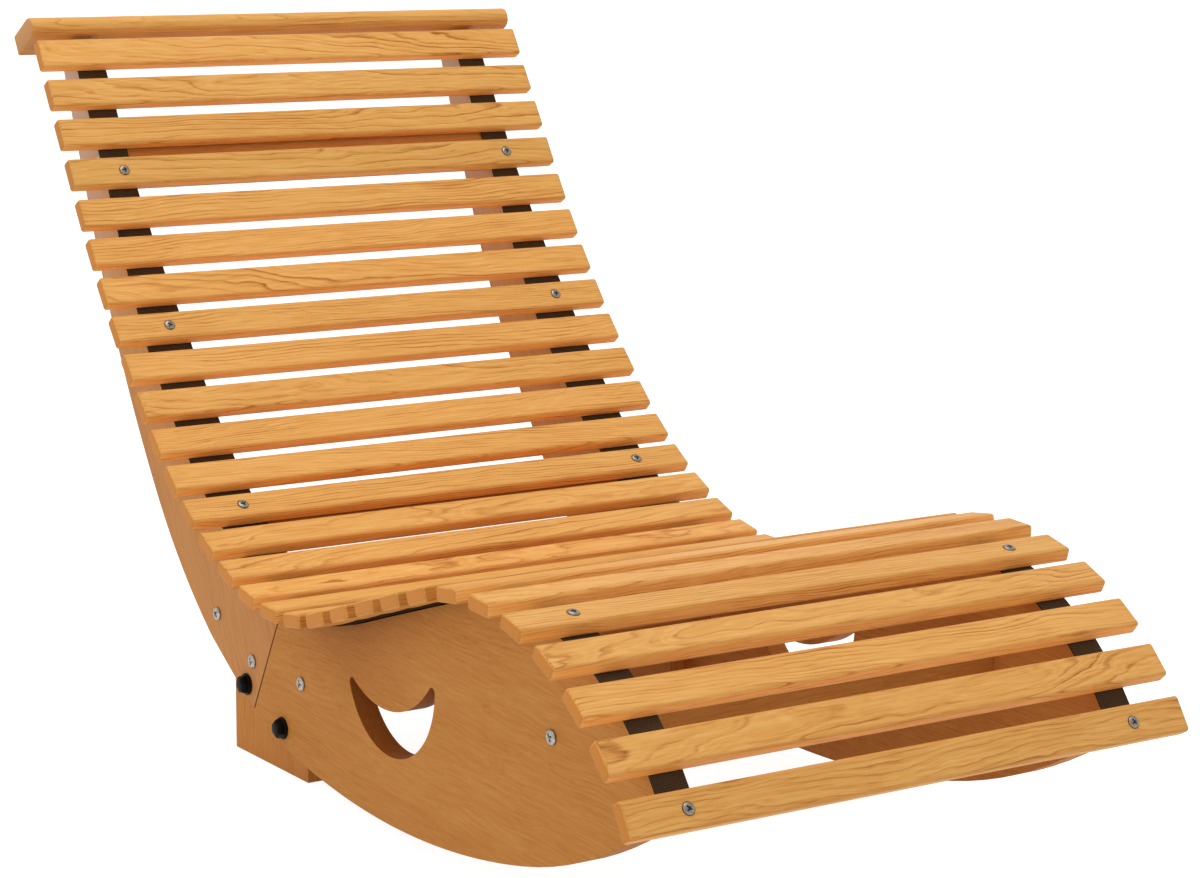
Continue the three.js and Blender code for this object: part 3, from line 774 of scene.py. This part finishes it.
for kind, lean in BOARD_LEAN.items():
    a = math.radians(lean)
    along, across = Vector((0, -math.cos(a), math.sin(a))), Vector((0, math.sin(a), math.cos(a)))
    for side, sign in SIDES:
        piece = eased(f"{kind}_{side}_wood", f"{kind}_{side}", width=0.9 * MM)
        pith = (rng.uniform(250, 420) * MM, sign * rng.uniform(60, 120) * MM)
        tilt = (rng.uniform(-0.03, 0.03), rng.uniform(-0.02, 0.02))
        points = points_of(piece.data)
        shares = board_shares(piece.name, points) if "board" in kind else {}
        grow(piece.data, points.mean(0), along, across, X, pith, tilt, rng.random(), **shares)
        add_material(piece, BOARD_WOOD)
        settle(piece, "side_wood", f"{kind}_{side}")

for name in ("back_rail", "waist_rail", "rear_rail", "seat_rail", "front_rail"):
    piece = eased(f"{name}_wood", name, width=0.5 * MM, segments=2)
    pith, tilt = log_place()
    grow(piece.data, points_of(piece.data).mean(0), X, Y, Z, pith, tilt, rng.random())
    add_material(piece, BOARD_WOOD)
    settle(piece, "side_wood", name)

piece = eased("head_rail_wood", "head_rail", width=0.6 * MM)
points = points_of(piece.data)
head_end = rising(np.abs(points[:, 0]), *HEAD_END)
# Painted shade deepens toward the lower edge of its rounded front
fall = (points - np.array(SLATS[1][0])) @ np.array(SLATS[1][1])
low_edge = rising(fall, fall.min() + SHADE_START, SHADE_REACH)
grow(piece.data, points.mean(0), X, Y, Z, pith=(30 * MM, -35 * MM), tilt=(0.01, 0.012), tone=0.3,
     side=0.5 * low_edge, end=0.75 * head_end, faded=0.25 * head_end)
add_material(piece, SLAT_WOOD)
settle(piece, "slat_wood", "head_rail")


# Webbing straps

STRAP_GAP, STRAP_THICKNESS = 0.15 * MM, 1.4 * MM
# How far the strap reaches past the middle of slat 1, towards the head
STRAP_END = 23 * MM
# Where the strap's points lie under a slat, as shares of its width
STRAP_STATIONS = (-0.5, -0.42, 0.0, 0.42, 0.5)
# How wide the strap is at these slats, in millimetres
STRAP_WIDTHS = {4: 33, 8: 50, 23: 50, 27: 33}
# Where the points of an outline lie across the strap, as shares of half its width
STRAP_SEGMENTS = 12
STRAP_STEPS = [-1 + 2 * n / STRAP_SEGMENTS for n in range(STRAP_SEGMENTS + 1)]
# The woven edges stand up a little past this share of the half width
SELVEDGE_START, SELVEDGE_RISE = 0.88, 0.048 * MM


def strap_path():
    """Points of the strap's top face, under the slats from head to foot."""
    points = []
    for number, (middle, down, normal) in SLATS.items():
        under = middle - normal * (SLAT_THICKNESS / 2 + STRAP_GAP)
        if number == 1:
            points.append(under - down * STRAP_END)
        points += [under + down * (share * SLAT_WIDTH) for share in STRAP_STATIONS]
    # The strap ends within the last slat
    return points[:-1]


def strap_mesh(name, sign):
    path = strap_path()
    # Y falls from the head to the foot, and interp needs rising values
    stops = [-SLATS[number][0].y for number in STRAP_WIDTHS]
    run = 0.0
    loops, coordinates = [], []
    for before, p, after in zip(path[:1] + path, path, path[1:] + path[-1:]):
        run += (p - before).length
        tangent = (after - before).normalized()
        normal = Vector((0, tangent.z, -tangent.y))
        if normal.z < 0:
            normal = -normal
        half = float(np.interp(-p.y, stops, list(STRAP_WIDTHS.values()))) * MM / 2
        loop = []
        for way, depth in ((1, 0.0), (-1, STRAP_THICKNESS)):
            for step in STRAP_STEPS:
                aside = way * step * half
                rise = SELVEDGE_RISE if way > 0 and abs(step) > SELVEDGE_START else -depth
                loop.append(p + X * (sign * BOARD_X + aside) + normal * rise)
                coordinates.append((run, aside, depth))
        loops.append(loop)
    mesh = mesh_from(name, *loft(loops))
    set_numbers(mesh, "weave", coordinates, "FLOAT_VECTOR")
    with edited(mesh) as work:
        bmesh.ops.recalc_face_normals(work, faces=work.faces)
    return mesh


for side, sign in SIDES:
    name = f"strap_{side}_webbing"
    strap = object_from(name, strap_mesh(name, sign))
    smooth(strap, angle=40)
    add_material(strap, WEBBING)
    settle(strap, "webbing", f"slat_strap_{side}")


# Screws

# The dome of a screw's head above its rim, as shares of its radius and its height
PAN_DOME = ((1.0, 0.0), (0.985, 0.22), (0.93, 0.48), (0.84, 0.70), (0.70, 0.89), (0.50, 1.0))
SCREW_SIDES = 48
# How far the slat screws stand off their countersinks, and the side screws off the boards
SLAT_SCREW_RISE, SIDE_SCREW_RISE = 0.3 * MM, 0.05 * MM
QUARTER_TURN = math.pi / 2
# Where the side screws sit in the side view, or None for the middle of their rail
SIDE_SCREWS = {
    "back_rail": None, "waist_rail": None, "rear_rail": (217.3 * MM, 144.5 * MM),
    "seat_rail_rear": (141.7 * MM, 111.3 * MM), "seat_rail_front": (40.0 * MM, 111.3 * MM),
    "front_rail": (-402.0 * MM, 164.5 * MM)}


def cross_cutter(reach, half, depth, top):
    """A tapered cross that cuts a screwdriver recess."""
    def cross(r, h, z):
        return [Vector((x, y, z)) for x, y in (
            (r, -h), (r, h), (h, h), (h, r), (-h, r), (-h, h),
            (-r, h), (-r, -h), (-h, -h), (-h, -r), (h, -r), (h, -h))]
    mesh = mesh_from("cross", *loft([
        cross(reach * 0.42, half * 0.55, top - depth), cross(reach, half, top),
        cross(reach * 1.2, half * 1.08, top + 2 * MM)]))
    fix_normals(mesh)
    return object_from("cross", mesh)


def pan_screw(name, radius, height, shank, length, recess_darkness, tarnish):
    """A pan-head screw that points down -Z, with the face that bears on the wood at height 0."""
    rim = 0.42 * height
    mesh = turned(name, [
        # The point and the shank
        (0, -length), (0.35 * shank, -length + 1.2 * MM), (shank, -length + 4 * MM),
        (shank, -0.4 * MM), (shank + 0.3 * MM, 0),
        # The head
        (radius - 0.35 * MM, 0), (radius, 0.35 * MM),
        *((radius * out, rim + up * (height - rim)) for out, up in PAN_DOME), (0, height)],
        SCREW_SIDES)
    screw = object_from(name, mesh)
    cut_with(screw, [cross_cutter(
        reach=0.58 * radius, half=0.15 * radius, depth=0.72 * height, top=height)])
    x, y, z = points_of(screw.data).T
    inside = (np.hypot(x, y) < 0.6 * radius) & (z > 0) & (z < 0.9 * height)
    set_numbers(screw.data, "recess", recess_darkness * inside)
    set_numbers(screw.data, "tarnish", np.full(len(x), tarnish))
    smooth(screw, angle=38)
    add_material(screw, STEEL)
    return screw


slat_screw = pan_screw(
    "slat_screw", radius=5.5 * MM, height=2.6 * MM, shank=2.2 * MM, length=34.2 * MM,
    recess_darkness=1.0, tarnish=0.55)
for number in SCREWED_SLATS:
    middle, down, normal = SLATS[number]
    seat = middle + normal * (SLAT_THICKNESS / 2 - SINK_DEPTH + SLAT_SCREW_RISE)
    for side, sign in SIDES:
        screw = object_from(f"slat_screw_{number:02d}_{side}_steel", slat_screw.data.copy())
        origin = seat + X * (sign * BOARD_X)
        placed(screw, origin, X, -down, normal, rng.uniform(0, QUARTER_TURN))
        settle(screw, "screw_steel", f"slat_screw_{number:02d}_{side}")
bpy.data.objects.remove(slat_screw)

side_screw = pan_screw(
    "side_screw", radius=6.8 * MM, height=3.2 * MM, shank=2.2 * MM, length=22 * MM,
    recess_darkness=0.5, tarnish=0.1)
for place, spot in SIDE_SCREWS.items():
    if spot is None:
        low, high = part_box(place)
        spot = ((low.y + high.y) / 2, (low.z + high.z) / 2)
    for side, sign in SIDES:
        screw = object_from(f"side_screw_{place}_{side}", side_screw.data.copy())
        origin = Vector((sign * (BOARD_OUTER_X + SIDE_SCREW_RISE), *spot))
        put_on_side(screw, sign, origin, rng.uniform(0, QUARTER_TURN))
        settle(screw, "screw_steel")
bpy.data.objects.remove(side_screw)


# Capped bolts

BOLT_RADIUS, BOLT_REACH, BOLT_CHAMFER = 3 * MM, 38.3 * MM, (0.6 * MM, 0.8 * MM)
CAP_HEIGHT = 9.5 * MM
# The radius and the height of the cap in millimetres, from its flange to its top
CAP_PROFILE = (
    (10.6, 0), (11, 0.5), (11, 1.5), (10.7, 1.9), (10.1, 2.1), (9.9, 2.9), (9.75, 5.2),
    (9.3, 6.9), (8.4, 8.2), (7.0, 8.95), (5.2, 9.3), (2.6, 9.48), (0, 9.5))
# Above the flange the cap becomes six-sided, as far as this share
FLANGE_TOP, HEX_GROWTH, HEX_SHARE = 1.9 * MM, 1.0 * MM, 0.85
SIXTH, CAP_SIDES = math.radians(60), 72
# How far the flats of each cap have turned, in radians
CAP_TURNS = {"rear": 0.2, "front": 0.65}


def cap_shape(angle, height):
    """Round at the flange, six rounded sides above it."""
    share = min(max((height - FLANGE_TOP) / HEX_GROWTH, 0.0), 1.0)
    a = (angle + SIXTH / 2) % SIXTH - SIXTH / 2
    flat = math.cos(SIXTH / 2) / math.cos(a)
    return 1 + share * HEX_SHARE * (flat - 1)


bolt = object_from("cap_bolt", turned("cap_bolt", [
    (0, -BOLT_REACH), (BOLT_RADIUS - BOLT_CHAMFER[0], -BOLT_REACH),
    (BOLT_RADIUS, -BOLT_REACH + BOLT_CHAMFER[1]), (BOLT_RADIUS, 0),
    *((radius * MM, height * MM) for radius, height in CAP_PROFILE)], CAP_SIDES, cap_shape))
smooth(bolt, angle=38)
add_material(bolt, PLASTIC)
for place, turn in CAP_TURNS.items():
    for side, sign in SIDES:
        node = f"cap_bolt_{place}_{side}"
        low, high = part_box(node)
        outer = (high.x if sign > 0 else low.x) - sign * CAP_HEIGHT
        piece = object_from(f"{node}_plastic", bolt.data.copy())
        put_on_side(
            piece, sign, Vector((outer, (low.y + high.y) / 2, (low.z + high.z) / 2)), turn)
        settle(piece, "cap_plastic", node)
bpy.data.objects.remove(bolt)


# Stage: floor, light and camera

FLOOR_REACH, FLOOR_DROP = 40, 0.2 * MM
# What the floor gives as light, and the shade and glow by which it is seen as white
FLOOR_COLOUR, SEEN_COLOUR, SEEN_GLOW = (0.85, 0.85, 0.84, 1), grey(0.55), 0.87
WHITE = grey(1)
# The strength of the surroundings as light, and as they are seen
ROOM_LIGHT, ROOM_SEEN = 0.62, 1.0
# Place, size and level of each lamp
LAMPS = {"overhead": ((-0.5, -0.1, 3.2), 2.2, 0.43), "left": ((-3.2, -1.2, 1.6), 2.0, 0.04)}
LAMP_AIM = Vector((0, 0, 0.3))

# The picture's size, the lens and the middle of the view, in pixels
PICTURE_WIDTH, PICTURE_HEIGHT = 1200, 878
FOCAL, CENTRE_X, CENTRE_Y = 2971.40, 489.108, 363.441
SENSOR = 36.0
AZIMUTH, ELEVATION = -0.557463, 0.151588
# A point within the lounger in millimetres, and how far it lies to the right, up and away
TARGET = Vector((0, 50.7268, 367.3))
TARGET_RIGHT, TARGET_UP, TARGET_AWAY = 25.963, -34.702, 2969.487

corners = [(x * FLOOR_REACH, y * FLOOR_REACH, 0) for x, y in ((-1, -1), (1, -1), (1, 1), (-1, 1))]
floor = object_from("floor", mesh_from("floor", corners, [(0, 1, 2, 3)]))
floor.location.z = -FLOOR_DROP
t = material_tree("floor")
matt = t.add("BsdfDiffuse", {"Color": FLOOR_COLOUR})
shade = t.add("BsdfDiffuse", {"Color": SEEN_COLOUR})
glow = t.add("Emission", {"Color": WHITE, "Strength": SEEN_GLOW})
white = t.add("AddShader", {0: shade.outputs[0], 1: glow.outputs[0]})
t.end("OutputMaterial", t.add("MixShader", {0: t.seen(), 1: matt.outputs[0], 2: white.outputs[0]}))
add_material(floor, t.owner)

bpy.context.scene.world = bpy.data.worlds.new("studio")
t = Tree(bpy.context.scene.world)
strength = t.range(t.seen(), 0.0, 1.0, ROOM_LIGHT, ROOM_SEEN)
t.end("OutputWorld", t.add("Background", {"Color": WHITE, "Strength": strength}))


def softbox(name, place, size, level):
    """A square lamp that adds about this level to a white surface facing it at the aim."""
    light = bpy.data.lights.new(name, "AREA")
    light.shape = "SQUARE"
    light.size = size
    lamp = object_from(name, light)
    apart = Vector(place) - LAMP_AIM
    light.energy = level * math.pi ** 2 * apart.length_squared
    lamp.location = place
    lamp.rotation_mode = "QUATERNION"
    lamp.rotation_quaternion = apart.to_track_quat("Z", "Y")


for name, (place, size, level) in LAMPS.items():
    softbox(name, place, size, level)

back = Vector((
    math.sin(AZIMUTH) * math.cos(ELEVATION), -math.cos(AZIMUTH) * math.cos(ELEVATION),
    math.sin(ELEVATION)))
right = Vector((math.cos(AZIMUTH), math.sin(AZIMUTH), 0))
up = back.cross(right)
eye = back * TARGET_AWAY - right * TARGET_RIGHT - up * TARGET_UP + TARGET
camera_data = bpy.data.cameras.new("camera")
camera_data.sensor_width = SENSOR
camera_data.lens = FOCAL / PICTURE_WIDTH * SENSOR
camera_data.shift_x = (PICTURE_WIDTH / 2 - CENTRE_X) / PICTURE_WIDTH
camera_data.shift_y = -(PICTURE_HEIGHT / 2 - CENTRE_Y) / PICTURE_WIDTH
camera_data.clip_start, camera_data.clip_end = 0.05, 200
camera = object_from("camera", camera_data)
camera.matrix_world = axes_matrix(eye * MM, right, up, back)
bpy.context.scene.camera = camera

bpy.context.scene.view_settings.view_transform = "Standard"

bpy.context.view_layer.update()
